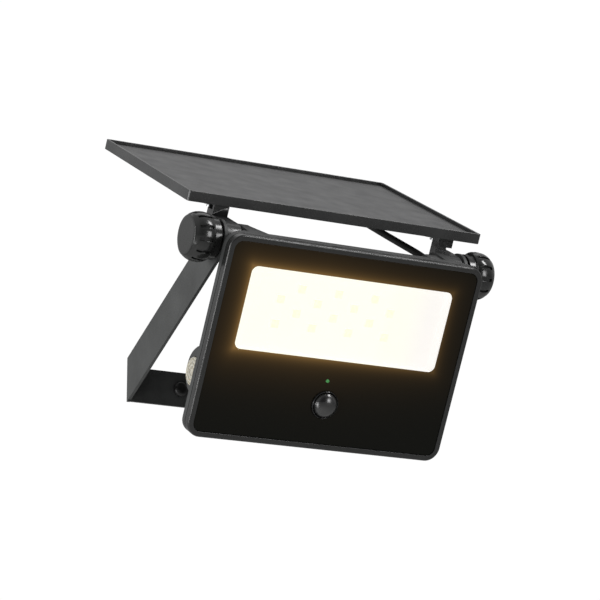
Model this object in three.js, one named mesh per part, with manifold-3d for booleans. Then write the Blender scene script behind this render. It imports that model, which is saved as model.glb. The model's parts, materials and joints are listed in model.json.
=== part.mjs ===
// Solar flood light on a wall bracket: a lamp housing and a solar panel turn on one shared pivot line
// between the two arms of a bent steel bracket, and a knob on each side clamps them.
// Millimetres, +Z up, front of the lamp towards -Y. The origin is the middle of the wall side of the
// bracket's plate. The housing and the panel are drawn in frames of their own, centred on the pivot.
import * as THREE from "three";
import { mergeVertices } from "three/addons/utils/BufferGeometryUtils.js";
import { ConvexGeometry } from "three/addons/geometries/ConvexGeometry.js";
import Module from "manifold-3d";

const wasm = await Module();
wasm.setup();

// ---- driving dimensions ----
const gap = 0.3; // between pieces that touch or nest
const sides = [["left", -1], ["right", 1]];

const pivotForward = 122; // wall face to pivot line
const pivotRise = 61.5; // plate centre to pivot line
const housingTilt = 29.1; // degrees, top of the lamp leaning forward
const panelTilt = 28.6; // degrees, front edge of the panel low

const stripWidth = 25;
const stripThickness = 2;
const armOuter = 83.6; // outer face of each bracket arm from the middle
const armAngle = 26.5; // degrees above horizontal
const plateHeight = 21.8;
const plateDrop = 2.2; // plate centre below the pivot strip's own centre line at the wall
const plateCorner = 0.8;
const wallScrewAt = 47.7;
const wallScrewHole = 2.9;
const wallScrewShank = 2.3;
const wallScrewLength = 20; // into the wall
const pivotHole = 3.3; // radius of every hole on the pivot line

const lampHalf = 86.4;
const lampTop = 10.3; // above the pivot line, along the lamp's face
const lampBottom = -114.3;
const lampCorner = 9;
const rearCorner = 8;
const sideDraft = 1.2; // how far the side walls lean in towards the back
const faceFront = -26.4; // front rim plane, ahead of the pivot line
const bezelDepth = 5.2;
const bezelWidth = 3.5;
const wall = 2.2;
const sideEnd = -17; // where the side walls start to taper
const shoulder = -13.2; // where the top and bottom start to taper
const rearPlate = -6.4;
const glassFront = -25.9;
const glassThickness = 3;
const glassBack = glassFront + glassThickness;
const windowHalf = 68.5;
const windowTop = -7;
const windowBottom = -57.9;
const pirHeight = -85.9;
const pirLensRadius = 7.8;
const pirRingInner = 8.1;
const pirRingOuter = 8.7;
const pirHole = 9;
const pirFlange = 11.6; // the ring's flange, behind the glass
const statusX = -1.7;
const statusHeight = -71.1;
const statusRadius = 1;

const barrelRadius = 16; // battery barrel across the back
const barrelHalf = 79.8;
const barrelY = -7.3;
const barrelZ = -79.5;
const barrelEndWall = 2.4;
const buttonRadius = 8.8;
const buttonFlange = 10.2; // radius, behind the end wall
const buttonStand = 1.6; // cap proud of the barrel's end
const buttonY = -4.6;
const buttonZ = -80.5;
const buttonTravel = 1;

const earInner = 64.5;
const earOuter = 70.7;
const hubInner = 71;
const hubOuter = 81.3;
const hubRadius = 11;
const notchRadius = hubRadius + 1.2; // room for the leg hubs
const notchInner = earOuter + 0.1;
const notchWall = 1.2; // shell thickness round that room
const posts = { left: [hubInner, hubOuter], right: [75, 85.2] }; // the right post stands over its arm
const postFoot = 12; // where a post leaves its hub

const panelHalf = 101.2;
const panelFront = 12.5; // panel edge behind the pivot line, along the panel
const panelLength = 138.5;
const panelTop = 24.3; // above the pivot line, square to the panel
const panelThickness = 6.4;
const panelCorner = 1.8;
const panelRecess = 1.8; // rim standing above the laminate
const rimWidth = 1.6;
const trayFloor = 1.4;
const panelUnder = panelTop - panelThickness;
const panelBack = panelFront + panelLength;

const knobRadius = 15;
const knobEnd = 103.2;
const knobShoulder = 89.7;
const knobBase = armOuter + 1.8; // clear of the washer
const knobRound = 3;
const collarRadius = 12.5;
const grooveCount = 12;
const grooveHalf = 1.1;
const grooveDepth = 0.9;
const insertRadius = 5.3;
const insertEnd = knobEnd - 5.4;
const washerRadius = 11;
const washerThickness = 1.2;
const boltRadius = 3;
const boltHead = 5.7;
const boltPocket = 3; // depth left behind the bolt's head in the ear

const cableRadius = 2.2;
const cableX = 58;
const glandZ = 6.4;

// ---- materials ----
const material = (color, roughness, metalness = 0) =>
  new THREE.MeshStandardMaterial({ color, roughness, metalness });
const blackPlastic = material(0x2b2c2d, 0.5);
const blackSteel = material(0x2f3131, 0.55, 0.4);
const blackGlass = material(0x0b0b0a, 0.08);
const blackRubber = material(0x141414, 0.8);
const gloss = material(0x070707, 0.12);
const whitePlastic = material(0xf2f0ea, 0.5);
const translucent = material(0xcfcabd, 0.45);
const greenBoard = material(0x1d4a2c, 0.5);
const whiteBoard = material(0xe9e6dc, 0.5);
const ledYellow = material(0xffe9a8, 0.4);
const ledGreen = material(0x35d07a, 0.3);
const zinc = material(0xa9abad, 0.35, 0.9);
const brass = material(0xb08a45, 0.35, 0.9);
const batteryWrap = material(0x2f6f9f, 0.4);
const solarGrey = material(0x6b6d70, 0.35);

// ---- solids ----
// Negative where the triangles face inwards, as a turned profile drawn the other way round does.
function signedVolume(points, triangles) {
  const corner = (i) => new THREE.Vector3().fromArray(points, triangles[i] * 3);
  let sum = 0;
  for (let i = 0; i < triangles.length; i += 3) sum += corner(i).dot(corner(i + 1).cross(corner(i + 2)));
  return sum / 6;
}

function solid(geometry) {
  const bare = geometry.index ? geometry.toNonIndexed() : geometry.clone();
  bare.deleteAttribute("normal");
  bare.deleteAttribute("uv");
  const welded = mergeVertices(bare, 1e-4);
  const vertProperties = new Float32Array(welded.attributes.position.array);
  const triVerts = new Uint32Array(welded.index.array);
  if (signedVolume(vertProperties, triVerts) < 0) triVerts.reverse();
  return new wasm.Manifold(new wasm.Mesh({ numProp: 3, vertProperties, triVerts }));
}

function toGeometry(body) {
  const mesh = body.getMesh();
  const geometry = new THREE.BufferGeometry();
  geometry.setAttribute("position", new THREE.BufferAttribute(mesh.vertProperties, 3));
  geometry.setIndex(new THREE.BufferAttribute(mesh.triVerts, 1));
  geometry.computeVertexNormals();
  return geometry;
}

const block = (x0, x1, y0, y1, z0, z1) => solid(
  new THREE.BoxGeometry(x1 - x0, y1 - y0, z1 - z0)
    .translate((x0 + x1) / 2, (y0 + y1) / 2, (z0 + z1) / 2));

const rodX = (radius, x0, x1, y = 0, z = 0, steps = 24) => solid(
  new THREE.CylinderGeometry(radius, radius, Math.abs(x1 - x0), steps)
    .rotateZ(-Math.PI / 2).translate((x0 + x1) / 2, y, z));

const rodY = (radius, y0, y1, x = 0, z = 0, steps = 24) => solid(
  new THREE.CylinderGeometry(radius, radius, Math.abs(y1 - y0), steps)
    .translate(x, (y0 + y1) / 2, z));

const rodZ = (radius, z0, z1, x = 0, y = 0, steps = 24) => solid(
  new THREE.CylinderGeometry(radius, radius, Math.abs(z1 - z0), steps)
    .rotateX(Math.PI / 2).translate(x, y, (z0 + z1) / 2));

function roundedShape(x0, x1, z0, z1, radius) {
  const shape = new THREE.Shape();
  shape.moveTo(x0 + radius, z0);
  shape.lineTo(x1 - radius, z0);
  shape.absarc(x1 - radius, z0 + radius, radius, -Math.PI / 2, 0);
  shape.lineTo(x1, z1 - radius);
  shape.absarc(x1 - radius, z1 - radius, radius, 0, Math.PI / 2);
  shape.lineTo(x0 + radius, z1);
  shape.absarc(x0 + radius, z1 - radius, radius, Math.PI / 2, Math.PI);
  shape.lineTo(x0, z0 + radius);
  shape.absarc(x0 + radius, z0 + radius, radius, Math.PI, Math.PI * 1.5);
  return shape;
}

// A slab standing across Y, with rounded corners in its X-Z outline.
const slab = (x0, x1, y0, y1, z0, z1, radius) => solid(
  new THREE.ExtrudeGeometry(roundedShape(x0, x1, z0, z1, radius),
    { depth: y1 - y0, bevelEnabled: false, curveSegments: 5 })
    .rotateX(Math.PI / 2).translate(0, y1, 0));

// A slab lying across Z, with rounded corners in its X-Y outline.
const tile = (x0, x1, y0, y1, z0, z1, radius) => solid(
  new THREE.ExtrudeGeometry(roundedShape(x0, x1, y0, y1, radius),
    { depth: z1 - z0, bevelEnabled: false, curveSegments: 5 })
    .translate(0, 0, z0));

// An outline in the Y-Z plane, extruded along X.
const across = (shape, x0, x1) => solid(
  new THREE.ExtrudeGeometry(shape, { depth: x1 - x0, bevelEnabled: false, curveSegments: 10 })
    .applyMatrix4(new THREE.Matrix4().makeBasis(
      new THREE.Vector3(0, 1, 0), new THREE.Vector3(0, 0, 1), new THREE.Vector3(1, 0, 0)))
    .translate(x0, 0, 0));

// A turned piece: profile points are [radius, place along the axis].
const turned = (profile, steps) => new THREE.LatheGeometry(
  profile.map(([r, a]) => new THREE.Vector2(r, a)), steps);

// All that lies behind a plane across Y, out to well beyond the lamp.
const reach = 160;
const behind = (y, top = reach) => block(-reach, reach, y, reach, -reach, top);

// ---- groups ----
const light = new THREE.Group();
const housing = new THREE.Group();
housing.position.set(0, -pivotForward, pivotRise);
housing.rotation.x = THREE.MathUtils.degToRad(housingTilt);
const panel = new THREE.Group();
panel.position.copy(housing.position);
panel.rotation.x = THREE.MathUtils.degToRad(panelTilt);
light.add(housing, panel);

function addPiece(group, name, body, look) {
  const mesh = new THREE.Mesh(body.isBufferGeometry ? body : toGeometry(body), look);
  mesh.name = name;
  group.add(mesh);
}

// ---- wall bracket: plate with two rising arms that end round the pivot line ----
function armShape() {
  const angle = THREE.MathUtils.degToRad(armAngle);
  const half = stripWidth / 2;
  const cut = half / Math.cos(angle); // half height of the arm's vertical end
  const centre = pivotRise - pivotForward * Math.tan(angle);
  const shape = new THREE.Shape();
  shape.moveTo(0, centre - cut);
  shape.lineTo(0, centre + cut);
  shape.lineTo(-pivotForward + half * Math.sin(angle), pivotRise + half * Math.cos(angle));
  shape.absarc(-pivotForward, pivotRise, half, Math.PI / 2 - angle, Math.PI * 1.5 - angle);
  return shape;
}

function wallBracket() {
  let body = slab(-armOuter, armOuter, -stripThickness, 0,
    -plateDrop - plateHeight / 2, -plateDrop + plateHeight / 2, plateCorner);
  for (const [, side] of sides) {
    const inner = side * (armOuter - stripThickness);
    const outer = side * armOuter;
    let arm = across(armShape(), Math.min(inner, outer), Math.max(inner, outer));
    arm = arm.subtract(rodX(pivotHole, inner - 3, inner + 3, -pivotForward, pivotRise));
    body = body.add(arm)
      .subtract(rodY(wallScrewHole, -2 * stripThickness, 2, side * wallScrewAt, -plateDrop));
  }
  return body;
}
addPiece(light, "wall_bracket", wallBracket(), blackSteel);

const wallScrewProfile = [[0, 0], [4.9, 0], [4.7, 1.5], [3.2, 2.8], [0, 3.1]];
for (const [name, side] of sides) {
  const seat = -stripThickness - gap;
  const head = solid(turned(wallScrewProfile, 24).rotateX(Math.PI))
    .translate([side * wallScrewAt, seat, -plateDrop]);
  const shank = rodY(wallScrewShank, seat - 0.5, wallScrewLength, side * wallScrewAt, -plateDrop, 16);
  addPiece(light, `wall_screw_${name}`, head.add(shank), blackSteel);
}

// ---- rear shell: tapered pan with battery barrel, pivot ears and cable boss ----
function taperedPan(inset, front) {
  const points = [];
  const ring = (y, x, top, bottom, radius) => {
    const outline = roundedShape(-x, x, bottom, top, radius).getPoints(5);
    for (const p of outline) points.push(new THREE.Vector3(p.x, y, p.y));
  };
  const taper = shoulder - sideEnd;
  const last = rearPlate - shoulder;
  const depthInset = 0.8 * inset;
  ring(front, lampHalf - inset, lampTop - inset, lampBottom + inset, lampCorner - inset);
  ring(sideEnd - depthInset / 2, lampHalf - inset, lampTop - inset, lampBottom + inset,
    lampCorner - inset);
  ring(shoulder - depthInset, lampHalf - taper - inset - sideDraft, lampTop - inset,
    lampBottom + inset + taper, rearCorner - inset);
  ring(rearPlate - inset, lampHalf - taper - last - inset - sideDraft, lampTop - last - inset,
    lampBottom + taper + last + inset, rearCorner - inset);
  return solid(new ConvexGeometry(points));
}

function barrel() {
  const r = barrelRadius;
  const round = 3;
  const profile = [[0, -barrelHalf]];
  for (let i = 0; i <= 3; i += 1) {
    const a = (i / 3) * Math.PI / 2;
    profile.push([r - round + round * Math.sin(a), -barrelHalf + round - round * Math.cos(a)]);
  }
  const mirrored = profile.map(([radius, along]) => [radius, -along]).reverse();
  return solid(turned([...profile, ...mirrored], 32).rotateZ(-Math.PI / 2))
    .translate([0, barrelY, barrelZ])
    .intersect(behind(sideEnd));
}

const earRoot = shoulder - 2;
const earFoot = -17;
const fairingWidth = 9;
function ear(side) {
  const shape = new THREE.Shape();
  shape.moveTo(earRoot, lampTop);
  shape.lineTo(-2, hubRadius);
  shape.absarc(0, 0, hubRadius, Math.PI / 2, -Math.PI / 2, true);
  shape.lineTo(earRoot, earFoot);
  const plate = across(shape, Math.min(side * earInner, side * earOuter),
    Math.max(side * earInner, side * earOuter));
  if (side > 0) return plate;
  const points = []; // the left ear has a fairing on its inner side
  for (const p of shape.getPoints(10)) points.push(new THREE.Vector3(-earInner - 0.5, p.x, p.y));
  for (const z of [lampTop - 0.2, earFoot + 5]) {
    points.push(new THREE.Vector3(-earInner + fairingWidth, earRoot, z));
  }
  return plate.add(solid(new ConvexGeometry(points)));
}

const coverScrews = [[-30, -0.4], [30, -0.4], [-62, -100.2], [62, -100.2]];
const pilotHole = 1.8;
const glandBoss = { half: 5, below: 6, above: 4.2, corner: 2 };

function rearShell() {
  const front = faceFront + bezelDepth + gap;
  let body = taperedPan(0, front).add(barrel());
  for (const [, side] of sides) {
    body = body.subtract(rodX(notchRadius, side * notchInner, side * reach, 0, 0, 28));
    body = body.add(ear(side));
  }
  const { half, below, above, corner } = glandBoss;
  body = body.add(slab(cableX - half, cableX + half, shoulder, rearPlate, glandZ - below, glandZ + above,
    corner));
  let cavity = taperedPan(wall, front - 1);
  for (const [, side] of sides) {
    cavity = cavity.subtract(rodX(notchRadius + notchWall, side * (notchInner - notchWall),
      side * reach, 0, 0, 28));
  }
  const roomEnd = barrelHalf - barrelEndWall;
  const cellRoom = rodX(barrelRadius - wall, -roomEnd, roomEnd, barrelY, barrelZ, 28)
    .intersect(behind(shoulder - 5));
  body = body.subtract(cavity).subtract(cellRoom);
  for (const [, side] of sides) {
    body = body.subtract(rodX(boltHead + 0.7, side * (earInner - 14), side * (earOuter - boltPocket))
      .intersect(behind(rearPlate + 0.6)));
    body = body.subtract(rodX(pivotHole, side * (earInner - 4), side * (earOuter + 4)));
  }
  for (const [x, z] of coverScrews) body = body.subtract(rodY(pilotHole, shoulder - 1, 0, x, z, 12));
  body = body.subtract(rodY(cableRadius + gap, sideEnd + 1, 0, cableX, glandZ, 16));
  return body.subtract(rodX(buttonRadius + gap, -reach, -barrelHalf + 5, buttonY, buttonZ, 28));
}
addPiece(housing, "rear_shell", rearShell(), blackPlastic);

const smallScrew = { head: 2.9, height: 1.8, recess: 1.1, shank: 1.4 };
coverScrews.forEach(([x, z], i) => {
  const seat = rearPlate + gap;
  const head = rodY(smallScrew.head, seat, seat + smallScrew.height, x, z, 16);
  const recess = rodY(smallScrew.recess, seat + 0.8, seat + 3, x, z, 6);
  const shank = rodY(smallScrew.shank, -18.5, seat + 0.5, x, z, 8);
  addPiece(housing, `cover_screw_${i + 1}`, head.subtract(recess).add(shank), zinc);
});

// ---- front: bezel, glass, gasket ----
const gasketThickness = 0.7;
const gasketBead = 2.2;

function frontBezel() {
  const back = faceFront + bezelDepth;
  const opening = lampHalf - bezelWidth;
  const ledgeWidth = 3;
  const ledge = opening - ledgeWidth;
  const pocketBack = glassBack + 2 * gap + gasketThickness;
  let body = slab(-lampHalf, lampHalf, faceFront, back, lampBottom, lampTop, lampCorner);
  const lipInset = wall + 0.4; // the lip sits inside the shell
  const lip = lampHalf - lipInset;
  body = body.add(slab(-lip, lip, back - 1, back + 1.4, lampBottom + lipInset, lampTop - lipInset,
    lampCorner - lipInset));
  body = body.subtract(slab(-opening, opening, faceFront - 1, pocketBack, lampBottom + bezelWidth,
    lampTop - bezelWidth, lampCorner - bezelWidth));
  return body.subtract(slab(-ledge, ledge, faceFront, back + 3, lampBottom + bezelWidth + ledgeWidth,
    lampTop - bezelWidth - ledgeWidth, 3.5));
}
addPiece(housing, "front_bezel", frontBezel(), blackPlastic);

function frontGlass() {
  const half = lampHalf - bezelWidth - gap;
  return slab(-half, half, glassFront, glassBack, lampBottom + bezelWidth + gap,
    lampTop - bezelWidth - gap, lampCorner - bezelWidth - gap)
    .subtract(rodY(pirHole, glassFront - 2, glassBack + 2, 0, pirHeight, 28))
    .subtract(rodY(statusRadius + gap, glassFront - 2, glassBack + 2, statusX, statusHeight, 16));
}
addPiece(housing, "front_glass", frontGlass(), blackGlass);

function glassGasket() {
  const half = lampHalf - bezelWidth - gap;
  const front = glassBack + gap;
  const top = lampTop - bezelWidth - gap;
  const bottom = lampBottom + bezelWidth + gap;
  return slab(-half, half, front, front + gasketThickness, bottom, top, 5)
    .subtract(slab(-half + gasketBead, half - gasketBead, front - 1, front + 2, bottom + gasketBead,
      top - gasketBead, 3));
}
addPiece(housing, "glass_gasket", glassGasket(), blackRubber);

// ---- light engine: white tray, board and light-emitting diodes ----
const reflectorFront = glassBack + 0.4;
const reflectorBack = -13.2;
const reflectorWall = 1.2;
const reflectorMargin = 1.6; // outside of the wall beyond the window
const boardThickness = 1.6;
const ledHalf = 2.5;
const ledHeight = 2;
const ledPitch = 25;
const ledCentre = -3;
const ledRows = [[-19.5, 3], [-27.1, 4], [-34.7, 3], [-42.4, 4]];
const ledPlaces = ledRows.flatMap(([z, count]) =>
  Array.from({ length: count }, (_, i) => [ledCentre + (i - (count - 1) / 2) * ledPitch, z]));

function reflectorTray() {
  const outside = (by, y0, y1, corner) => slab(-windowHalf - by, windowHalf + by, y0, y1,
    windowBottom - by, windowTop + by, corner);
  let body = outside(reflectorMargin, reflectorFront, reflectorBack, 4)
    .subtract(outside(reflectorMargin - reflectorWall, reflectorFront - 1, reflectorBack - reflectorWall, 3));
  const hole = ledHalf + gap;
  for (const [x, z] of ledPlaces) {
    body = body.subtract(block(x - hole, x + hole, reflectorBack - 2, reflectorBack + 2, z - hole, z + hole));
  }
  return body;
}
addPiece(housing, "reflector_tray", reflectorTray(), whitePlastic);
addPiece(housing, "led_board", slab(-windowHalf + 2.5, windowHalf - 2.5, reflectorBack + gap,
  reflectorBack + gap + boardThickness, windowBottom + 1, windowTop - 1, 2), whiteBoard);
ledPlaces.forEach(([x, z], i) => {
  const name = `led_${String(i + 1).padStart(2, "0")}`;
  addPiece(housing, name, block(x - ledHalf, x + ledHalf, reflectorBack - ledHeight, reflectorBack,
    z - ledHalf, z + ledHalf), ledYellow);
});

// ---- control side: board, motion sensor, status light, cells, button ----
const boardFront = -15.2;
const boardHalf = 45;
addPiece(housing, "control_board", slab(-boardHalf, boardHalf, boardFront, boardFront + boardThickness,
  -106, -64, 2), greenBoard);

// The ring's collar stands through the glass, its flange behind it.
function pirRing() {
  const front = -27.3;
  const flangeFront = glassBack + 0.5;
  const flangeBack = flangeFront + 1.2;
  const outline = [[pirRingInner, flangeFront], [pirRingInner, front + 0.2], [pirRingInner + 0.3, front],
    [pirRingOuter, front + 0.2], [pirRingOuter, flangeFront], [pirFlange, flangeFront],
    [pirFlange, flangeBack], [pirRingInner, flangeBack], [pirRingInner, flangeFront]];
  return turned(outline, 28).translate(0, 0, pirHeight);
}
addPiece(housing, "pir_ring", solid(pirRing()), blackPlastic);

function pirLens() {
  const rise = 5.2; // dome height ahead of the ring
  const base = -26.4;
  const skirt = -22.2;
  const skin = 0.8;
  const rings = 6;
  const inner = pirLensRadius - skin;
  const dome = (r, h, y) => Array.from({ length: rings + 1 }, (_, i) => {
    const a = (i / rings) * Math.PI / 2;
    return [r * Math.cos(a), y - h * Math.sin(a)];
  });
  const outside = dome(pirLensRadius, rise, base);
  const inside = dome(inner, rise - skin, base).reverse();
  const profile = [...inside, [inner, skirt], [pirLensRadius, skirt], ...outside];
  return turned(profile, 28).translate(0, 0, pirHeight);
}
addPiece(housing, "pir_lens", solid(pirLens()), gloss);
const sensorRadius = 4.6;
addPiece(housing, "pir_sensor", rodY(sensorRadius, -20.5, boardFront - gap, 0, pirHeight), zinc);
addPiece(housing, "status_light", rodY(statusRadius, glassFront - 0.2, boardFront - gap, statusX,
  statusHeight, 16), ledGreen);

const cellRadius = 9.1;
const cellY = -3.4;
const cellEnd = 66;
const contact = { clear: 0.4, thickness: 0.8, halfDepth: 6, halfHeight: 7 };
for (const [name, side] of sides) {
  const can = rodX(cellRadius, side * 2.5, side * cellEnd, cellY, barrelZ, 28);
  const terminal = rodX(3, side, side * 3, cellY, barrelZ, 16);
  addPiece(housing, `battery_cell_${name}`, can.add(terminal), batteryWrap);
  const near = side * (cellEnd + contact.clear);
  const far = near + side * contact.thickness;
  addPiece(housing, `battery_contact_${name}`, block(Math.min(near, far), Math.max(near, far),
    cellY - contact.halfDepth, cellY + contact.halfDepth,
    barrelZ - contact.halfHeight, barrelZ + contact.halfHeight), zinc);
}

// The button's cap stands in the barrel's left end, its flange held behind the end wall.
const flangeX = -barrelHalf + barrelEndWall + gap;
const flangeThickness = 1.1;
function modeButton() {
  const face = -barrelHalf - buttonStand;
  const back = flangeX + flangeThickness;
  const outline = [[0, back], [buttonFlange, back], [buttonFlange, flangeX], [buttonRadius, flangeX],
    [buttonRadius, face + 0.7], [buttonRadius - 0.8, face + 0.1], [0, face]];
  return solid(turned(outline, 28).rotateZ(-Math.PI / 2)).translate([0, buttonY, buttonZ]);
}
addPiece(housing, "mode_button", modeButton(), translucent);
const plungerEnd = flangeX + flangeThickness + buttonTravel + gap;
const switchHalf = 3;
const switchDepth = 3.5;
addPiece(housing, "button_switch", block(plungerEnd + 1, plungerEnd + 1 + switchDepth,
  buttonY - switchHalf, buttonY + switchHalf, buttonZ - switchHalf, buttonZ + switchHalf)
  .add(rodX(1.7, plungerEnd, plungerEnd + 2, buttonY, buttonZ, 16)), blackPlastic);

const glandBore = cableRadius + gap;
const glandFront = rearPlate + gap;
const glandRadius = 4.2;
const glandEnd = -0.6;
addPiece(housing, "cable_gland", solid(turned([[glandBore, glandFront], [glandRadius, glandFront],
  [glandRadius, glandEnd - 2.8], [glandRadius - 0.9, glandEnd], [glandBore, glandEnd],
  [glandBore, glandFront]], 24)).translate([cableX, 0, glandZ]), blackRubber);

// ---- pivot bolts, washers and clamp knobs ----
function hexAcross(radius, x0, x1) {
  return solid(new THREE.CylinderGeometry(radius, radius, Math.abs(x1 - x0), 6)
    .rotateZ(-Math.PI / 2).translate((x0 + x1) / 2, 0, 0));
}

function clampKnob(side) {
  const steps = 4;
  const profile = [[0, knobEnd], [knobRadius - knobRound - 1.5, knobEnd - 0.3]];
  for (let i = 0; i <= steps; i += 1) {
    const a = (i / steps) * Math.PI / 2;
    profile.push([knobRadius - knobRound + knobRound * Math.sin(a),
      knobEnd - 0.6 - knobRound + knobRound * Math.cos(a)]);
  }
  profile.push([knobRadius, knobShoulder + 1.5], [knobRadius - 1.2, knobShoulder],
    [collarRadius, knobShoulder], [collarRadius, knobBase], [0, knobBase]);
  let body = solid(turned(profile, 28).rotateZ(-Math.PI / 2));
  for (let i = 0; i < grooveCount; i += 1) {
    const groove = block(knobShoulder - 1, knobEnd - knobRound - 1.2, -grooveHalf, grooveHalf,
      knobRadius - grooveDepth, knobRadius + 2).rotate([(i * 360) / grooveCount, 0, 0]);
    body = body.subtract(groove);
  }
  body = body.subtract(rodX(insertRadius + gap, knobBase - 1, insertEnd + 0.4));
  return side > 0 ? body : body.mirror([1, 0, 0]);
}

for (const [name, side] of sides) {
  const washer = rodX(washerRadius, side * (armOuter + gap), side * (armOuter + gap + washerThickness),
    0, 0, 32).subtract(rodX(pivotHole, side * earOuter, side * knobEnd));
  const insert = rodX(insertRadius, side * (knobBase + 0.4), side * insertEnd)
    .subtract(rodX(pivotHole, side * earOuter, side * (knobEnd + 2)));
  const headSeat = earOuter - boltPocket;
  const bolt = hexAcross(boltHead, side * (headSeat - 3.6), side * (headSeat - gap))
    .add(rodX(boltRadius, side * (headSeat - 1), side * (insertEnd - 1), 0, 0, 20));
  addPiece(housing, `pivot_bolt_${name}`, bolt, zinc);
  addPiece(housing, `clamp_washer_${name}`, washer, blackSteel);
  addPiece(housing, `knob_insert_${name}`, insert, brass);
  addPiece(housing, `clamp_knob_${name}`, clampKnob(side), blackPlastic);
}

// ---- solar panel: tray, laminate, legs, junction box ----
function panelTray() {
  return tile(-panelHalf, panelHalf, panelFront, panelBack, panelUnder, panelTop, panelCorner)
    .subtract(tile(-panelHalf + rimWidth, panelHalf - rimWidth, panelFront + rimWidth,
      panelBack - rimWidth, panelUnder + trayFloor, panelTop + 2, panelCorner));
}
addPiece(panel, "panel_tray", panelTray(), blackPlastic);
const laminateInset = rimWidth + gap;
addPiece(panel, "solar_laminate", tile(-panelHalf + laminateInset, panelHalf - laminateInset,
  panelFront + laminateInset, panelBack - laminateInset, panelUnder + trayFloor + gap,
  panelTop - panelRecess, panelCorner), solarGrey);

const legFront = 16.9;
const legDepth = 8.4;
const flangeEnd = legFront + 30;
const legFlange = 2.6;
const legScrewAt = [flangeEnd - 15, flangeEnd - 5];
const pocketDepth = 5;
const pocketWall = 1.8;

// A hub on the pivot line, a post up to the panel, and a flange under the panel.
function panelLeg(name, side) {
  const top = panelUnder - gap;
  const legBack = legFront + legDepth;
  const span = (near, far) => [Math.min(side * near, side * far), Math.max(side * near, side * far)];
  const shape = new THREE.Shape();
  shape.moveTo(flangeEnd, top);
  shape.lineTo(legFront, top);
  shape.lineTo(legFront, hubRadius);
  shape.lineTo(0, hubRadius);
  shape.absarc(0, 0, hubRadius, Math.PI / 2, Math.PI * 1.72, false);
  shape.lineTo(legBack, 2.5);
  shape.lineTo(legBack, top - legFlange);
  shape.lineTo(flangeEnd, top - legFlange);
  const [inner, outer] = posts[name];
  const above = block(-reach, reach, -reach, reach, postFoot, reach);
  const behindHub = block(...span(hubInner - 1, inner), hubRadius + 1, reach, -reach, reach);
  const hub = across(shape, ...span(hubInner, hubOuter)).subtract(above).subtract(behindHub);
  const post = across(shape, ...span(inner, outer)).intersect(above);
  const pocket = block(...span(outer - pocketDepth, outer + 1), legFront + pocketWall,
    legBack - pocketWall, postFoot + pocketWall, top - 1.2);
  let body = hub.add(post).subtract(pocket)
    .subtract(rodX(pivotHole, side * (hubInner - 4), side * (hubOuter + 4)));
  for (const y of legScrewAt) {
    body = body.subtract(rodZ(pilotHole, top - 5, top + 1, side * (inner + outer) / 2, y, 12));
  }
  return body;
}
for (const [name, side] of sides) {
  addPiece(panel, `panel_leg_${name}`, panelLeg(name, side), blackPlastic);
  const middle = side * (posts[name][0] + posts[name][1]) / 2;
  const seat = panelUnder - gap - legFlange - gap;
  legScrewAt.forEach((y, i) => {
    const head = rodZ(smallScrew.head, seat - smallScrew.height, seat, middle, y, 16);
    const shank = rodZ(smallScrew.shank, seat - 0.5, panelUnder - 0.1, middle, y, 8);
    addPiece(panel, `leg_screw_${name}_${i + 1}`, head.add(shank), zinc);
  });
}

const boxFront = 104;
const boxBack = 138;
const boxLeft = cableX - 26;
const boxRight = cableX + 12;
const boxDepth = 12.6;
const boxCorner = 3;
const cableExit = 8.4;
addPiece(panel, "junction_box", tile(boxLeft, boxRight, boxFront, boxBack, panelUnder - gap - boxDepth,
  panelUnder - gap, boxCorner)
  .subtract(rodY(cableRadius + gap, boxFront - 2, boxFront + 8, cableX, cableExit, 16)), blackPlastic);

// ---- cable from the junction box to the lamp's gland, drawn in the panel's frame ----
const cablePoints = [[boxFront + 5, cableExit], [94, 8.1], [80, 7.8], [66, 7.6], [52, 7.4], [38, 7.3],
  [26, 7.2], [16, 7.15], [8, 7], [2, 6.7], [-3, 6.5], [-7, 6.4], [-10, 6.35]];

function solarCable() {
  const curve = new THREE.CatmullRomCurve3(cablePoints.map(([y, z]) => new THREE.Vector3(cableX, y, z)));
  const ring = new THREE.Shape();
  ring.absarc(0, 0, cableRadius, 0, Math.PI * 2);
  return new THREE.ExtrudeGeometry(ring, { steps: 30, curveSegments: 4, extrudePath: curve });
}
addPiece(panel, "solar_cable", solid(solarCable()), blackRubber);

export default light;
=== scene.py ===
import json
import math

import bmesh
import bpy
from mathutils import Matrix, Vector, geometry


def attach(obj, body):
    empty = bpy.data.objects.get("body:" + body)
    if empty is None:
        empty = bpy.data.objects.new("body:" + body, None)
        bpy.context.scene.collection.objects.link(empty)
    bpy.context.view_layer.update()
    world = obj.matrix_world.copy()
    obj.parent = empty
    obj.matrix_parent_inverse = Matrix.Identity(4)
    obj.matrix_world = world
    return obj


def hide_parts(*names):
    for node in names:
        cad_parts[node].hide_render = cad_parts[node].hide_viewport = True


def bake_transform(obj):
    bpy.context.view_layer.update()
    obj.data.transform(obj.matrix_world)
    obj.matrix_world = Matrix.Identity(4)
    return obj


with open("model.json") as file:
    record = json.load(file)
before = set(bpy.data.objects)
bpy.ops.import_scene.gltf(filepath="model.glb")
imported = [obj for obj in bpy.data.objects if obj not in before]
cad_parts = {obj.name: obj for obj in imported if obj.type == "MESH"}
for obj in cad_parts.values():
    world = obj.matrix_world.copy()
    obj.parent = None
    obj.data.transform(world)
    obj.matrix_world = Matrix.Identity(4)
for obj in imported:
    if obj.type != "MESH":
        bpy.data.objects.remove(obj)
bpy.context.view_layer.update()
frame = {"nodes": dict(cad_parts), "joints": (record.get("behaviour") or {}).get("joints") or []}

# Pieces are drawn in millimetres, on the wall, in the lamp's own frame or in the panel's own frame.
# Both of those are centred on the pivot line, with X along it.
mm = 0.001
joints = {joint["name"]: joint for joint in frame["joints"]}
pivot = Vector(joints["housing_tilt"]["pos_m"])
lean = {"lamp": 29.1, "panel": 28.6}  # degrees at rest
sides = {"left": -1, "right": 1}


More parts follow.
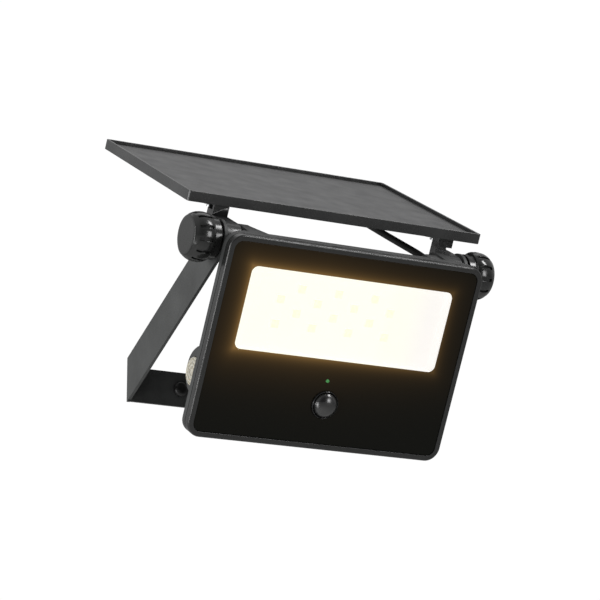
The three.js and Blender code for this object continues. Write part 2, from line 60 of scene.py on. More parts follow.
def tipped(degrees):
    return Matrix.Translation(pivot) @ Matrix.Rotation(math.radians(degrees), 4, "X") @ Matrix.Scale(mm, 4)


onWall = Matrix.Scale(mm, 4)
onLamp = tipped(lean["lamp"])
onPanel = tipped(lean["panel"])


# camera
camera = {"place": (-0.7715, -1.4999, -0.3711), "azimuth": -28.38, "elevation": -14.41, "lens": 162.68}


def makeCamera():
    azimuth, elevation = math.radians(camera["azimuth"]), math.radians(camera["elevation"])
    back = Vector((math.sin(azimuth) * math.cos(elevation), -math.cos(azimuth) * math.cos(elevation),
                   math.sin(elevation)))
    data = bpy.data.cameras.new("camera")
    data.lens = camera["lens"]
    data.sensor_width = 36
    data.clip_end = 50
    eye = bpy.data.objects.new("camera", data)
    eye.location = camera["place"]
    eye.rotation_mode = "QUATERNION"
    eye.rotation_quaternion = (-back).to_track_quat("-Z", "Y")
    bpy.context.scene.collection.objects.link(eye)
    bpy.context.scene.camera = eye


makeCamera()
print("camera set")


# A finish starts from this: a material, its shader, and its own Object coordinates.
class Finish:
    def __init__(self, name, colour, roughness, **sockets):
        self.material = bpy.data.materials.new(name)
        self.material.use_nodes = True
        self.nodes = self.material.node_tree.nodes
        self.links = self.material.node_tree.links
        self.shader = self.nodes["Principled BSDF"]
        self.where = self.nodes.new("ShaderNodeTexCoord").outputs["Object"]
        self.shader.inputs["Base Color"].default_value = (*colour, 1)
        self.shader.inputs["Roughness"].default_value = roughness
        for socket, value in sockets.items():
            self.shader.inputs[socket.replace("_", " ")].default_value = value

    def node(self, kind, **settings):
        made = self.nodes.new(kind)
        for setting, value in settings.items():
            setattr(made, setting, value)
        return made

    def math(self, operation, first, second=None):
        made = self.node("ShaderNodeMath", operation=operation)
        for socket, value in zip(made.inputs, (first, second)):
            if value is None:
                continue
            if isinstance(value, (int, float)):
                socket.default_value = value
            else:
                self.links.new(value, socket)
        return made.outputs[0]

    def noise(self, scale, detail=3.0, stretch=None):
        where = self.where
        if stretch:
            mapping = self.node("ShaderNodeMapping")
            mapping.inputs["Scale"].default_value = stretch
            self.links.new(where, mapping.inputs["Vector"])
            where = mapping.outputs["Vector"]
        made = self.node("ShaderNodeTexNoise")
        made.inputs["Scale"].default_value = scale
        made.inputs["Detail"].default_value = detail
        self.links.new(where, made.inputs["Vector"])
        return made.outputs["Fac"]

    def span(self, value, low, high, fromLow=0.3, fromHigh=0.7):
        made = self.node("ShaderNodeMapRange")
        for socket, number in (("From Min", fromLow), ("From Max", fromHigh), ("To Min", low),
                               ("To Max", high)):
            made.inputs[socket].default_value = number
        self.links.new(value, made.inputs["Value"])
        return made.outputs["Result"]

    def shades(self, share, first, second):
        ramp = self.node("ShaderNodeValToRGB")
        ramp.color_ramp.elements[0].color = (*first, 1)
        ramp.color_ramp.elements[1].color = (*second, 1)
        ramp.color_ramp.elements[0].position = 0.3
        ramp.color_ramp.elements[1].position = 0.7
        self.links.new(share, ramp.inputs["Fac"])
        return ramp.outputs["Color"]

    def bumps(self, *heights):
        normal = None
        for height, depth in heights:
            bump = self.node("ShaderNodeBump")
            bump.inputs["Distance"].default_value = depth
            bump.inputs["Strength"].default_value = 1.0
            self.links.new(height, bump.inputs["Height"])
            if normal:
                self.links.new(normal, bump.inputs["Normal"])
            normal = bump.outputs["Normal"]
        self.links.new(normal, self.shader.inputs["Normal"])

    def send(self, value, socket):
        self.links.new(value, self.shader.inputs[socket])


def mottled(name, colour, roughness, grain=1600, depth=0.00002, change=0.25, spread=0.08, **sockets):
    # an even finish with a fine moulded or coated grain, faint cloudiness and handled patches
    made = Finish(name, colour, roughness, **sockets)
    cloud = made.noise(45, 4)
    fine = made.noise(grain, 2)
    darker = tuple(c * (1 - change) for c in colour)
    lighter = tuple(c * (1 + change) for c in colour)
    made.send(made.shades(cloud, darker, lighter), "Base Color")
    made.send(made.span(made.noise(110, 4), roughness - spread, roughness + spread), "Roughness")
    made.bumps((fine, depth), (cloud, depth * 4))
    return made.material


def brushedMetal(name, colour, roughness, stretch=(1, 30, 30), depth=0.00001):
    made = Finish(name, colour, roughness, Metallic=1.0)
    streaks = made.noise(160, 4, stretch)
    made.send(made.span(streaks, roughness - 0.1, roughness + 0.12), "Roughness")
    made.send(made.shades(made.noise(90, 3), tuple(c * 0.86 for c in colour), colour), "Base Color")
    made.bumps((streaks, depth))
    return made.material


# The lamp's own coordinates, in metres, from a finish's Object coordinates.
def lampPlace(made):
    mapping = made.node("ShaderNodeMapping", vector_type="TEXTURE")
    mapping.inputs["Location"].default_value = pivot
    mapping.inputs["Rotation"].default_value = (math.radians(lean["lamp"]), 0, 0)
    made.links.new(made.where, mapping.inputs["Vector"])
    parts = made.node("ShaderNodeSeparateXYZ")
    made.links.new(mapping.outputs["Vector"], parts.inputs["Vector"])
    return parts.outputs["X"], parts.outputs["Y"], parts.outputs["Z"]


window = {"half": 68.5, "top": -7.0, "bottom": -57.9, "corner": 4.2}


def awayFromWindow(made):
    # distance from the lit window's edge, in metres, 0 inside it
    x, _, z = lampPlace(made)
    middle = (window["top"] + window["bottom"]) / 2 * mm
    tall = (window["top"] - window["bottom"]) / 2 * mm
    dx = made.math("MAXIMUM", made.math("SUBTRACT", made.math("ABSOLUTE", x), window["half"] * mm), 0.0)
    high = made.math("ABSOLUTE", made.math("SUBTRACT", z, middle))
    dz = made.math("MAXIMUM", made.math("SUBTRACT", high, tall), 0.0)
    return made.math("SQRT", made.math("ADD", made.math("MULTIPLY", dx, dx), made.math("MULTIPLY", dz, dz)))


def printedGlass():
    # gloss black printed border; an amber glow is painted on the print beside the window, fading away from it
    # and stronger towards the left
    made = Finish("printedGlass", (0.004, 0.0042, 0.003), 0.05, Specular_IOR_Level=0.1)
    away = awayFromWindow(made)
    near = made.math("EXPONENT", made.math("MULTIPLY", away, -1 / 0.0022))
    wide = made.math("EXPONENT", made.math("MULTIPLY", away, -1 / 0.011))
    x, _, _ = lampPlace(made)
    leftward = made.span(x, 1.0, 0.35, -0.02, 0.07)
    # painted glow: a narrow and a wide falloff from the window's edge, weaker towards the right
    paintedGlow = made.math("ADD", made.math("MULTIPLY", near, 0.15), made.math("MULTIPLY", wide, 0.045))
    made.send(made.math("MULTIPLY", paintedGlow, leftward), "Emission Strength")
    made.shader.inputs["Emission Color"].default_value = (1.0, 0.55, 0.16, 1)
    made.send(made.span(made.noise(60, 4), 0.03, 0.09), "Roughness")
    made.bumps((made.noise(30, 2), 0.00001))
    return made.material


def clearGlass():
    made = Finish("clearGlass", (1, 1, 1), 0.02, Transmission_Weight=1.0, IOR=1.45)
    made.send(made.span(made.noise(70, 4), 0.0, 0.03), "Roughness")
    made.bumps((made.noise(30, 2), 0.000005))
    return made.material


def litReflector():
    # white reflector lit by the diodes: warm, brightest among them and paler at the far right
    made = Finish("litReflector", (0.12, 0.12, 0.11), 0.7)
    x, _, z = lampPlace(made)
    rightEnd = made.span(x, 0.0, 1.0, 0.038, 0.062)
    ramp = made.node("ShaderNodeValToRGB")
    ramp.color_ramp.elements[0].color = (1.0, 0.985, 0.84, 1)
    ramp.color_ramp.elements[1].color = (1.0, 0.965, 0.93, 1)
    made.links.new(rightEnd, ramp.inputs["Fac"])
    made.send(ramp.outputs["Color"], "Emission Color")
    made.send(made.span(x, 1.04, 0.93, 0.03, 0.062), "Emission Strength")
    made.bumps((made.noise(900, 2), 0.00001))
    return made.material


def glowing(name, colour, strength, edge):
    made = Finish(name, tuple(c * 0.25 for c in colour), 0.35)
    made.shader.inputs["Emission Strength"].default_value = strength
    made.send(made.shades(made.noise(700, 3), colour, edge), "Emission Color")
    return made.material


# the solar cells and the area they cover, in metres, in the panel's own frame
cells = {"width": 0.0325, "depth": 0.0655, "gap": 0.0003, "halfX": 0.0958, "middleY": 0.08175,
         "halfY": 0.0637}


def solarLaminate():
    # textured clear laminate over dark grey cells, with thin gaps between the cells
    made = Finish("solarLaminate", (0.05, 0.05, 0.052), 0.42, Specular_IOR_Level=0.35)
    brick = made.node("ShaderNodeTexBrick", offset=0.0, squash=1.0)
    mapping = made.node("ShaderNodeMapping", vector_type="TEXTURE")
    mapping.inputs["Location"].default_value = pivot
    mapping.inputs["Rotation"].default_value = (math.radians(lean["panel"]), 0, 0)
    made.links.new(made.where, mapping.inputs["Vector"])
    made.links.new(mapping.outputs["Vector"], brick.inputs["Vector"])
    for socket, value in (("Scale", 1.0), ("Mortar Size", cells["gap"]), ("Mortar Smooth", 0.6),
                          ("Brick Width", cells["width"]), ("Row Height", cells["depth"]), ("Bias", 0.0)):
        brick.inputs[socket].default_value = value
    brick.inputs["Color1"].default_value = (0.05, 0.05, 0.052, 1)
    brick.inputs["Color2"].default_value = (0.048, 0.048, 0.05, 1)
    brick.inputs["Mortar"].default_value = (0.044, 0.044, 0.046, 1)
    # the colour turns near-black outside the cells, a dark margin round them
    parts = made.node("ShaderNodeSeparateXYZ")
    made.links.new(mapping.outputs["Vector"], parts.inputs["Vector"])
    beside = made.math("SUBTRACT", made.math("ABSOLUTE", parts.outputs["X"]), cells["halfX"])
    along = made.math("ABSOLUTE", made.math("SUBTRACT", parts.outputs["Y"], cells["middleY"]))
    outside = made.math("MAXIMUM", beside, made.math("SUBTRACT", along, cells["halfY"]))
    margin = made.node("ShaderNodeMix", data_type="RGBA")
    made.links.new(made.span(outside, 0.0, 1.0, 0.0, 0.0002), margin.inputs["Factor"])
    made.links.new(brick.outputs["Color"], margin.inputs[6])
    margin.inputs[7].default_value = (0.004, 0.004, 0.004, 1)
    made.send(margin.outputs[2], "Base Color")
    made.send(made.span(made.noise(80, 4), 0.36, 0.48), "Roughness")
    made.bumps((made.noise(1400, 2), 0.00002), (made.noise(12, 2), 0.00006))
    return made.material


def circuitBoard(name, colour, line):
    made = Finish(name, colour, 0.4)
    made.send(made.shades(made.noise(260, 1), colour, line), "Base Color")
    made.send(made.span(made.noise(400, 2), 0.3, 0.5), "Roughness")
    made.bumps((made.noise(260, 1), 0.00003))
    return made.material


def milkySilicone():
    made = Finish("milkySilicone", (0.42, 0.4, 0.34), 0.32, Subsurface_Weight=0.35, Subsurface_Scale=0.002)
    made.shader.inputs["Subsurface Radius"].default_value = (1.0, 0.9, 0.7)
    made.send(made.shades(made.noise(220, 4), (0.34, 0.32, 0.27), (0.5, 0.48, 0.41)), "Base Color")
    made.send(made.span(made.noise(300, 3), 0.25, 0.42), "Roughness")
    made.bumps((made.noise(1200, 2), 0.00001))
    return made.material


finishes = {
    "housingBlack": mottled("housingBlack", (0.03, 0.031, 0.031), 0.46),
    "rimBlack": mottled("rimBlack", (0.013, 0.0132, 0.013), 0.25, grain=2200, depth=0.000003),
    "knobBlack": mottled("knobBlack", (0.012, 0.0125, 0.012), 0.2, grain=2200, depth=0.000004),
    "powderCoat": mottled("powderCoat", (0.034, 0.0355, 0.035), 0.5, grain=950, depth=0.00005),
    "panelFrame": mottled("panelFrame", (0.026, 0.0265, 0.027), 0.28, grain=1800),
    "cableBlack": mottled("cableBlack", (0.006, 0.006, 0.006), 0.6, grain=1500, Specular_IOR_Level=0.15),
    "softBlack": mottled("softBlack", (0.014, 0.014, 0.014), 0.7, grain=1200),
    "lensBlack": mottled("lensBlack", (0.004, 0.004, 0.004), 0.27, grain=500, depth=0.000004, spread=0.04,
                         Specular_IOR_Level=0.9),
    "screwBlack": mottled("screwBlack", (0.02, 0.02, 0.02), 0.35, grain=1500, Metallic=0.6),
    "cellWrap": mottled("cellWrap", (0.04, 0.16, 0.4), 0.3),
    "reflector": litReflector(),
    "diode": glowing("diode", (1.0, 0.97, 0.64), 1.03, (1.0, 0.98, 0.74)),
    "statusGreen": glowing("statusGreen", (0.02, 0.3, 0.03), 0.3, (0.25, 0.8, 0.3)),
    "printedGlass": printedGlass(),
    "clearGlass": clearGlass(),
    "laminate": solarLaminate(),
    "greenBoard": circuitBoard("greenBoard", (0.02, 0.13, 0.05), (0.05, 0.22, 0.09)),
    "whiteBoard": circuitBoard("whiteBoard", (0.78, 0.78, 0.74), (0.86, 0.86, 0.83)),
    "silicone": milkySilicone(),
    "zinc": brushedMetal("zinc", (0.62, 0.63, 0.64), 0.32),
    "brass": brushedMetal("brass", (0.72, 0.5, 0.2), 0.3),
}
print("finishes made:", len(finishes))


# modelling helpers
def copyNode(name, place):
    # a merged copy of a node's mesh, back in its own frame and in millimetres
    bm = bmesh.new()
    bm.from_mesh(frame["nodes"][name].data)
    bmesh.ops.remove_doubles(bm, verts=bm.verts, dist=0.000002)
    bmesh.ops.transform(bm, matrix=place.inverted(), verts=bm.verts)
    bmesh.ops.dissolve_limit(bm, angle_limit=math.radians(0.6), verts=bm.verts, edges=bm.edges)
    return bm


def soften(bm, width, segments=3, above=30, choose=None):
    # rounds the outward edges that turn by more than this many degrees
    picked = []
    for edge in bm.edges:
        if len(edge.link_faces) != 2 or edge.calc_face_angle(0) < math.radians(above):
            continue
        if edge.is_convex and (choose is None or choose(edge)):
            picked.append(edge)
    if picked:
        bmesh.ops.bevel(bm, geom=picked, offset=width, offset_type="OFFSET", segments=segments, profile=0.5,
                        affect="EDGES", clamp_overlap=True, material=-1)


def addPiece(bm, name, place, body, finish, standsFor=(), sharp=40):
    bmesh.ops.transform(bm, matrix=place, verts=bm.verts)
    bmesh.ops.remove_doubles(bm, verts=bm.verts, dist=0.0000005)
    bmesh.ops.recalc_face_normals(bm, faces=bm.faces)
    mesh = bpy.data.meshes.new(name)
    bm.to_mesh(mesh)
    bm.free()
    mesh.polygons.foreach_set("use_smooth", [True] * len(mesh.polygons))
    mesh.set_sharp_from_angle(angle=math.radians(sharp))
    mesh.materials.append(finishes[finish])
    piece = bpy.data.objects.new(name, mesh)
    bpy.context.scene.collection.objects.link(piece)
    even = piece.modifiers.new("evenFaces", "WEIGHTED_NORMAL")
    even.keep_sharp = True
    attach(piece, body)
    if standsFor:
        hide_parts(*standsFor)


def spun(profile, steps, axis="X", centre=(0, 0, 0)):
    # profile points are (radius, place along the axis)
    bm = bmesh.new()
    along = Vector({"X": (1, 0, 0), "Y": (0, 1, 0)}[axis])
    verts = [bm.verts.new(along * a + Vector((0, 0, r))) for r, a in profile]
    edges = [bm.edges.new(pair) for pair in zip(verts, verts[1:])]
    bmesh.ops.spin(bm, geom=verts + edges, cent=(0, 0, 0), axis=along, angle=math.tau, steps=steps,
                   use_merge=True, use_duplicate=False)
    bmesh.ops.remove_doubles(bm, verts=bm.verts, dist=0.0005)
    bmesh.ops.translate(bm, verts=bm.verts, vec=centre)
    return bm


def roundedFace(bm, x0, x1, z0, z1, radius, y, segments=8):
    corners = [bm.verts.new((x, y, z)) for x, z in ((x0, z0), (x1, z0), (x1, z1), (x0, z1))]
    bm.faces.new(corners)
    bmesh.ops.bevel(bm, geom=corners, offset=radius, offset_type="OFFSET", segments=segments, profile=0.5,
                    affect="VERTICES", material=-1)
    bm.faces.ensure_lookup_table()
    return bm.faces[0]


def extruded(bm, faces):
    # extrudes faces and leaves nothing behind inside the solid; returns the new faces
    parts = list({part for face in faces for part in (face, *face.edges, *face.verts)})
    made = bmesh.ops.extrude_face_region(bm, geom=parts)
    return [part for part in made["geom"] if isinstance(part, bmesh.types.BMFace)]


def push(bm, face, y):
    # extrudes one face square to the lamp's front, to this depth
    top = extruded(bm, [face])[0]
    for vert in top.verts:
        vert.co.y = y
    return top


def inset(bm, face, width):
    bmesh.ops.inset_region(bm, faces=[face], thickness=width, use_even_offset=True)


# The cable runs from the junction box, along the panel's underside, over the pivot line and into the lamp.
cable = {"x": 58, "radius": 2.2,
         "route": [[105, 8.4], [94, 8.1], [80, 7.8], [66, 7.6], [52, 7.4], [38, 7.3], [26, 7.2], [16, 7.15],
                   [8, 7], [2, 6.7], [-3, 6.5], [-7, 6.4], [-10, 6.35]]}


def makeCable():
    knots = [Vector((cable["x"], y, z)) for y, z in cable["route"]]
    route = []
    for i in range(len(knots) - 1):
        before, after = knots[max(i - 1, 0)], knots[min(i + 2, len(knots) - 1)]
        here, there = knots[i], knots[i + 1]
        reach = (there - here).length / 3
        leave = (there - before).normalized() * reach
        arrive = (after - here).normalized() * reach
        steps = geometry.interpolate_bezier(here, here + leave, there - arrive, there, 6)
        route += steps if i == 0 else steps[1:]
    data = bpy.data.curves.new("cableLine", "CURVE")
    data.dimensions = "3D"
    data.bevel_depth = cable["radius"]
    data.bevel_resolution = 6
    data.use_fill_caps = True
    spline = data.splines.new("POLY")
    spline.points.add(len(route) - 1)
    for point, place in zip(spline.points, route):
        point.co = (*place, 1)
    line = bpy.data.objects.new("cableLine", data)
    bpy.context.scene.collection.objects.link(line)
    bpy.context.view_layer.update()
    mesh = bpy.data.meshes.new_from_object(line.evaluated_get(bpy.context.evaluated_depsgraph_get()))
    bpy.data.objects.remove(line)
    mesh.transform(onPanel)
    mesh.name = "solarCable"
    mesh.polygons.foreach_set("use_smooth", [True] * len(mesh.polygons))
    mesh.materials.clear()
    mesh.materials.append(finishes["cableBlack"])
    piece = bpy.data.objects.new("solarCable", mesh)
    bpy.context.scene.collection.objects.link(piece)
    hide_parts("solar_cable")
    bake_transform(piece)


makeCable()

# bracket: one strip of flat steel, its plate against the wall and an arm rising on each side
bracket = {"edge": 0.45, "screwX": 47.7, "screwZ": -2.2, "screwFront": -2.3, "headRadius": 4.9,
           "headHeight": 3.0, "headSteps": 24}


def makeBracket():
    bm = copyNode("wall_bracket", onWall)
    soften(bm, bracket["edge"], segments=2, above=40)
    addPiece(bm, "bracketStrip", onWall, "bracket", "powderCoat", ["wall_bracket"])


makeBracket()


def screwHead(radius, height, steps):
    # a button head on the Y axis, standing towards -Y from y=0, with a cross recess in its top
    rim = radius * 0.52
    profile = [(0.001, 0), (radius * 0.96, 0), (radius, -height * 0.12), (radius * 0.96, -height * 0.5),
               (radius * 0.8, -height * 0.82), (rim, -height)]
    bm = spun(profile, steps, "Y")
    edge = [e for e in bm.edges if e.is_boundary]
    face = bmesh.ops.contextual_create(bm, geom=edge)["faces"][0]
    bmesh.ops.inset_region(bm, faces=[face], thickness=rim * 0.08)
    for vert in face.verts:
        angle = math.atan2(vert.co.z, vert.co.x)
        turn = (math.degrees(angle) + 405) % 90 - 45
        reach = rim * (0.92 if abs(turn) < 9 else 0.34 if abs(turn) > 30 else 0.4)
        vert.co.x = reach * math.cos(angle)
        vert.co.z = reach * math.sin(angle)
    floor = extruded(bm, [face])[0]
    bmesh.ops.translate(bm, verts=floor.verts, vec=(0, height * 0.6, 0))
    return bm


def makeWallScrews():
    for side, sign in sides.items():
        bm = screwHead(bracket["headRadius"], bracket["headHeight"], bracket["headSteps"])
        place = (sign * bracket["screwX"], bracket["screwFront"], bracket["screwZ"])
        bmesh.ops.translate(bm, verts=bm.verts, vec=place)
        addPiece(bm, f"wallScrewHead_{side}", onWall, "bracket", "screwBlack")


makeWallScrews()
print("bracket made")

# rear shell
shell = {"edge": 0.5}


def makeShell():
    bm = copyNode("rear_shell", onLamp)
    soften(bm, shell["edge"], segments=2, above=38)
    addPiece(bm, "rearShell", onLamp, "housing", "housingBlack", ["rear_shell"])


makeShell()

# front bezel: a ring with a rounded front edge and a pocket that holds the glass
bezel = {"half": 86.4, "top": 10.3, "bottom": -114.3, "corner": 9, "front": -26.4, "back": -21.2, "rim": 3.5,
         "pocket": -22.3, "ledge": 3, "round": 1.0, "edge": 0.35}


def makeBezel():
    bm = bmesh.new()
    outline = roundedFace(bm, -bezel["half"], bezel["half"], bezel["bottom"], bezel["top"], bezel["corner"],
                          bezel["back"], segments=12)
    front = push(bm, outline, bezel["front"])
    back = next(f for f in bm.faces if all(abs(v.co.y - bezel["back"]) < 1e-4 for v in f.verts))
    inset(bm, front, bezel["rim"])
    pocket = push(bm, front, bezel["pocket"])
    inset(bm, pocket, bezel["ledge"])
    inset(bm, back, bezel["rim"] + bezel["ledge"])
    loops = [e for face in (pocket, back) for e in face.edges]
    bmesh.ops.delete(bm, geom=[pocket, back], context="FACES_ONLY")
    bmesh.ops.bridge_loops(bm, edges=loops)
    bmesh.ops.recalc_face_normals(bm, faces=bm.faces)

    def outerFront(edge):
        return all(abs(v.co.y - bezel["front"]) < 0.01 for v in edge.verts) and all(
            abs(v.co.x) > bezel["half"] - 0.1 or v.co.z > bezel["top"] - 0.1 or v.co.z < bezel["bottom"] + 0.1
            or math.hypot(abs(v.co.x) - (bezel["half"] - bezel["corner"]), max(
                v.co.z - (bezel["top"] - bezel["corner"]), bezel["bottom"] + bezel["corner"] - v.co.z, 0))
            > bezel["corner"] - 0.4 for v in edge.verts)

    soften(bm, bezel["round"], segments=5, above=50, choose=outerFront)
    soften(bm, bezel["edge"], segments=2, above=50)
    addPiece(bm, "bezelRing", onLamp, "housing", "rimBlack", ["front_bezel"])


makeBezel()

# front glass: gloss black print with a clear window, a hole for the sensor and one for the status light
glass = {"half": 82.6, "top": 6.5, "bottom": -110.5, "corner": 5.2, "front": -25.9, "back": -22.9,
         "sensorZ": -85.9, "sensorHole": 9.0, "statusX": -1.7, "statusZ": -71.1, "statusHole": 1.3,
         "edge": 0.25, "gap": 0.02}


def circleEdges(bm, radius, x, z, y, segments):
    place = Matrix.Translation((x, y, z)) @ Matrix.Rotation(math.pi / 2, 4, "X")
    made = bmesh.ops.create_circle(bm, cap_ends=False, segments=segments, radius=radius, matrix=place)
    return list({e for v in made["verts"] for e in v.link_edges})


def makeGlass():
    bm = bmesh.new()
    for outline in (glass, window):
        roundedFace(bm, -outline["half"], outline["half"], outline["bottom"], outline["top"],
                    outline["corner"], glass["front"])
    edges = [edge for face in bm.faces for edge in face.edges]
    bmesh.ops.delete(bm, geom=list(bm.faces), context="FACES_ONLY")
    edges += circleEdges(bm, glass["sensorHole"], 0, glass["sensorZ"], glass["front"], 48)
    edges += circleEdges(bm, glass["statusHole"], glass["statusX"], glass["statusZ"], glass["front"], 16)
    bmesh.ops.triangle_fill(bm, edges=edges, use_beauty=True, normal=(0, -1, 0))
    made = bmesh.ops.extrude_face_region(bm, geom=list(bm.faces))
    for part in made["geom"]:
        if isinstance(part, bmesh.types.BMVert):
            part.co.y = glass["back"]
    bmesh.ops.recalc_face_normals(bm, faces=bm.faces)

    def frontButNotWindow(edge):
        onFront = all(abs(v.co.y - glass["front"]) < 0.01 for v in edge.verts)
        atWindow = all(abs(v.co.x) < window["half"] + 0.1
                       and window["bottom"] - 0.1 < v.co.z < window["top"] + 0.1 for v in edge.verts)
        return onFront and not atWindow

    soften(bm, glass["edge"], segments=2, above=60, choose=frontButNotWindow)
    addPiece(bm, "printedBorder", onLamp, "housing", "printedGlass", ["front_glass"])

    bm = bmesh.new()
    gap = glass["gap"]
    face = roundedFace(bm, -window["half"] + gap, window["half"] - gap, window["bottom"] + gap,
                       window["top"] - gap, window["corner"], glass["front"])
    push(bm, face, glass["back"])
    addPiece(bm, "clearWindow", onLamp, "housing", "clearGlass")


makeGlass()

# motion sensor: a ring and a domed lens
sensor = {"lens": 7.8, "rise": 5.2, "base": -26.4,
          "ring": [(8.05, -22.0), (8.05, -26.9), (8.2, -27.2), (8.4, -27.3), (8.62, -27.1), (8.7, -26.7),
                   (8.7, -22.4), (11.6, -22.4), (11.6, -21.2), (8.05, -21.2), (8.05, -22.0)]}


def makeSensor():
    r, y, rise = sensor["lens"], sensor["base"], sensor["rise"]
    outside = [(r * math.cos(math.radians(a)), y - rise * math.sin(math.radians(a))) for a in range(0, 85, 7)]
    profile = [(0.001, -23.5), (r - 0.8, -23.0), (r, -22.4), *outside, (0.001, y - rise)]
    middle = (0, 0, glass["sensorZ"])
    bm = spun(profile, 64, "Y", middle)
    addPiece(bm, "sensorLens", onLamp, "housing", "lensBlack", ["pir_lens"], sharp=60)
    bm = spun(sensor["ring"], 64, "Y", middle)
    addPiece(bm, "sensorRing", onLamp, "housing", "rimBlack", ["pir_ring"])


makeSensor()
print("lamp front made")

# clamp knobs: a collar, a flared grip with twelve broad pads between narrow grooves, and a flat end
# grip points are (depth below the widest radius, place along the axis)
knob = {"collar": 12.5, "base": 85.4, "shoulder": 89.7, "widest": 15.0, "end": 103.2, "face": 12.2,
        "grip": [(2.4, 89.7), (1.1, 90.2), (0.3, 91.6), (0, 94.2), (0.05, 96.5), (0.4, 98.6), (1.0, 100.2),
                 (1.7, 101.4), (2.5, 102.3)],
        "groovesFrom": 91.6, "groovesTo": 100.2, "grooveDepth": 1.2, "pads": 12, "grooveSteps": 2,
        "turned": 3, "steps": 96, "edge": 0.25}


def makeKnob(side, sign):
    end, face = knob["end"], knob["face"]
    grip = [(knob["widest"] - depth, along) for depth, along in knob["grip"]]
    collar = [(0.001, knob["base"]), (knob["collar"], knob["base"]), (knob["collar"], knob["shoulder"] - 0.5)]
    profile = [*collar, *grip, (face, end - 0.25), (face - 0.9, end), (face - 2.2, end), (0.001, end)]
    bm = spun(profile, knob["steps"], "X")
    perPad = knob["steps"] // knob["pads"]
    grooves = []
    for face in bm.faces:
        middle = face.calc_center_median()
        inBand = knob["groovesFrom"] < middle.x < knob["groovesTo"]
        outside = math.hypot(middle.y, middle.z) > knob["collar"] + 0.5
        index = int(math.degrees(math.atan2(middle.z, middle.y)) % 360 / (360 / knob["steps"]))
        if inBand and outside and (index + knob["turned"]) % perPad < knob["grooveSteps"]:
            grooves.append(face)
    sunk = {vert for face in extruded(bm, grooves) for vert in face.verts}
    for vert in sunk:
        out = math.hypot(vert.co.y, vert.co.z)
        share = (out - knob["grooveDepth"]) / out
        vert.co.y *= share
        vert.co.z *= share
    bmesh.ops.recalc_face_normals(bm, faces=bm.faces)
    soften(bm, knob["edge"], segments=2, above=35)
    bmesh.ops.scale(bm, vec=(sign, 1, 1), verts=bm.verts)
    addPiece(bm, f"clampKnob_{side}", onLamp, f"knob_{side}", "knobBlack",
             [f"clamp_knob_{side}"], sharp=50)


for side, sign in sides.items():
    makeKnob(side, sign)
print("knobs made")

# mode button: a milky cap with raised rings
button = {"face": -81.4, "back": -76.1, "radius": 8.8, "y": -4.6, "z": -80.5,
          "rings": [(0.001, 0), (1.6, 0), (2.1, 0.8), (2.6, 0.8), (3.1, 0), (4.2, 0), (4.7, 0.8), (5.2, 0.8),
                    (5.7, 0), (6.6, 0), (7.0, 0.7), (7.4, 0.7), (7.8, 0.1), (8.3, 0.25), (8.7, 0.7),
                    (8.8, 1.4)]}


def makeButton():
    profile = [(r, button["face"] + a) for r, a in button["rings"]]
    profile += [(button["radius"], button["back"]), (0.001, button["back"])]
    bm = spun(profile, 48, "X", (0, button["y"], button["z"]))
    addPiece(bm, "modeButtonCap", onLamp, "mode_button", "silicone", ["mode_button"])


makeButton()

# cable gland: a ribbed rubber sleeve round the cable where it enters the lamp
gland = {"z": 6.4, "bore": 2.35, "radius": 4.2, "front": -6.1, "end": -0.6, "ribs": 3, "ribDepth": 0.7,
         "taper": 0.35, "lip": 0.6}


def makeGland():
    front, end, bore = gland["front"], gland["end"], gland["bore"]
    profile = [(bore, front), (gland["radius"], front)]
    pitch = (end - front - gland["lip"]) / gland["ribs"]
    for i in range(gland["ribs"]):
        here = front + i * pitch
        crest = gland["radius"] - gland["taper"] * i
        root = crest - gland["ribDepth"]
        profile += [(crest, here + pitch * 0.55), (root, here + pitch * 0.62), (root, here + pitch * 0.92)]
    profile += [(gland["radius"] - 1.1, end), (bore, end), (bore, front)]
    bm = spun(profile, 40, "Y", (cable["x"], 0, gland["z"]))
    addPiece(bm, "cableGland", onLamp, "housing", "softBlack", ["cable_gland"])


makeGland()

# solar panel: a shallow tray, two legs, and the junction box below
panelEdges = {"tray": 0.65, "leg": 0.35, "box": 0.8}


def makePanel():
    bm = copyNode("panel_tray", onPanel)
    soften(bm, panelEdges["tray"], segments=4, above=50)
    addPiece(bm, "panelTray", onPanel, "panel", "panelFrame", ["panel_tray"])
    for side in sides:
        bm = copyNode(f"panel_leg_{side}", onPanel)
        soften(bm, panelEdges["leg"], segments=2, above=40)
        addPiece(bm, f"panelLeg_{side}", onPanel, "panel", "panelFrame",
                 [f"panel_leg_{side}"])
    bm = copyNode("junction_box", onPanel)
    soften(bm, panelEdges["box"], segments=3, above=50)
    addPiece(bm, "junctionBox", onPanel, "panel", "panelFrame", ["junction_box"])


makePanel()
print("panel made")

# finishes of the nodes that stay as they are
plainNodes = {
    "solar_laminate": "laminate", "reflector_tray": "reflector", "led_board": "whiteBoard",
    "control_board": "greenBoard", "status_light": "statusGreen", "glass_gasket": "softBlack",
    "pir_sensor": "zinc",
}
nodeFamilies = {"led_": "diode", "wall_screw": "screwBlack", "cover_screw": "zinc", "leg_screw": "zinc",
                "battery_cell": "cellWrap", "battery_contact": "zinc", "pivot_bolt": "zinc",
                "clamp_washer": "screwBlack", "knob_insert": "brass"}
for name, node in frame["nodes"].items():
    finish = plainNodes.get(name)
    for start, family in nodeFamilies.items():
        if finish is None and name.startswith(start):
            finish = family
    if finish is None:
        finish = "housingBlack"
    node.data.materials.clear()
    node.data.materials.append(finishes[finish])
print("carried nodes finished")

# floor, light and surroundings
studio = {"floorZ": -1.65, "floorSize": 9.0, "sky": 0.55, "low": 0.06, "front": 0.1, "backdrop": 1.02}


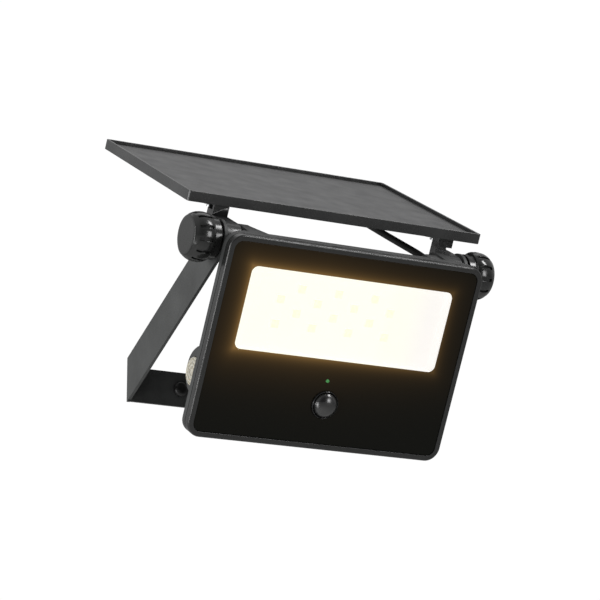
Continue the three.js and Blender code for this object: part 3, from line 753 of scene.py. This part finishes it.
def makeStudio():
    bm = bmesh.new()
    bmesh.ops.create_grid(bm, x_segments=1, y_segments=1, size=studio["floorSize"])
    bmesh.ops.translate(bm, verts=bm.verts, vec=(0, 0, studio["floorZ"]))
    mesh = bpy.data.meshes.new("floor")
    bm.to_mesh(mesh)
    bm.free()
    ground = Finish("paleFloor", (0.8, 0.8, 0.79), 0.8)
    ground.send(ground.shades(ground.noise(1.5, 3), (0.79, 0.79, 0.78), (0.81, 0.81, 0.8)), "Base Color")
    mesh.materials.append(ground.material)
    floor = bpy.data.objects.new("floor", mesh)
    bpy.context.scene.collection.objects.link(floor)

    world = bpy.data.worlds.new("studio")
    bpy.context.scene.world = world
    world.use_nodes = True
    nodes, links = world.node_tree.nodes, world.node_tree.links
    around = nodes["Background"]
    direction = nodes.new("ShaderNodeTexCoord").outputs["Generated"]
    parts = nodes.new("ShaderNodeSeparateXYZ")
    links.new(direction, parts.inputs["Vector"])
    height = nodes.new("ShaderNodeMapRange")
    for socket, value in (("From Min", -0.35), ("From Max", 0.25), ("To Min", studio["low"]),
                          ("To Max", studio["sky"])):
        height.inputs[socket].default_value = value
    links.new(parts.outputs["Z"], height.inputs["Value"])
    # darker towards the front, where the camera stands
    depth = nodes.new("ShaderNodeMapRange")
    for socket, value in (("From Min", -0.95), ("From Max", -0.35), ("To Min", studio["front"]),
                          ("To Max", 1.0)):
        depth.inputs[socket].default_value = value
    links.new(parts.outputs["Y"], depth.inputs["Value"])
    level = nodes.new("ShaderNodeMath")
    level.operation = "MULTIPLY"
    links.new(height.outputs["Result"], level.inputs[0])
    links.new(depth.outputs["Result"], level.inputs[1])
    links.new(level.outputs[0], around.inputs["Strength"])
    around.inputs["Color"].default_value = (1, 1, 1, 1)
    white = nodes.new("ShaderNodeBackground")
    white.inputs["Strength"].default_value = studio["backdrop"]
    white.inputs["Color"].default_value = (1, 1, 1, 1)
    pick = nodes.new("ShaderNodeMixShader")
    seen = nodes.new("ShaderNodeLightPath").outputs["Is Camera Ray"]
    links.new(seen, pick.inputs["Fac"])
    links.new(around.outputs[0], pick.inputs[1])
    links.new(white.outputs[0], pick.inputs[2])
    links.new(pick.outputs[0], nodes["World Output"].inputs["Surface"])


lamps = {
    "leftSoftbox": {"place": (-1.95, 0.15, 0.25), "size": (0.8, 1.3), "power": 26},
    "lowLeftSoftbox": {"place": (-1.8, -0.8, -0.75), "size": (0.4, 1.1), "power": 13},
    "frontSoftbox": {"place": (0.75, -1.8, 0.1), "size": (0.5, 0.7), "power": 10},
    "rightSoftbox": {"place": (0.96, -1.2, 1.5), "size": (0.3, 0.7), "power": 13},
    "topSoftbox": {"place": (0.3, 0.6, 1.8), "size": (1.2, 1.2), "power": 3},
}


def makeLamps():
    for name, lamp in lamps.items():
        data = bpy.data.lights.new(name, "AREA")
        data.shape = "RECTANGLE"
        data.size, data.size_y = lamp["size"]
        data.energy = lamp["power"]
        light = bpy.data.objects.new(name, data)
        light.location = lamp["place"]
        light.rotation_mode = "QUATERNION"
        light.rotation_quaternion = (pivot - Vector(lamp["place"])).to_track_quat("-Z", "Y")
        bpy.context.scene.collection.objects.link(light)


makeStudio()
makeLamps()
bpy.context.scene.view_settings.view_transform = "Standard"
print("studio made")
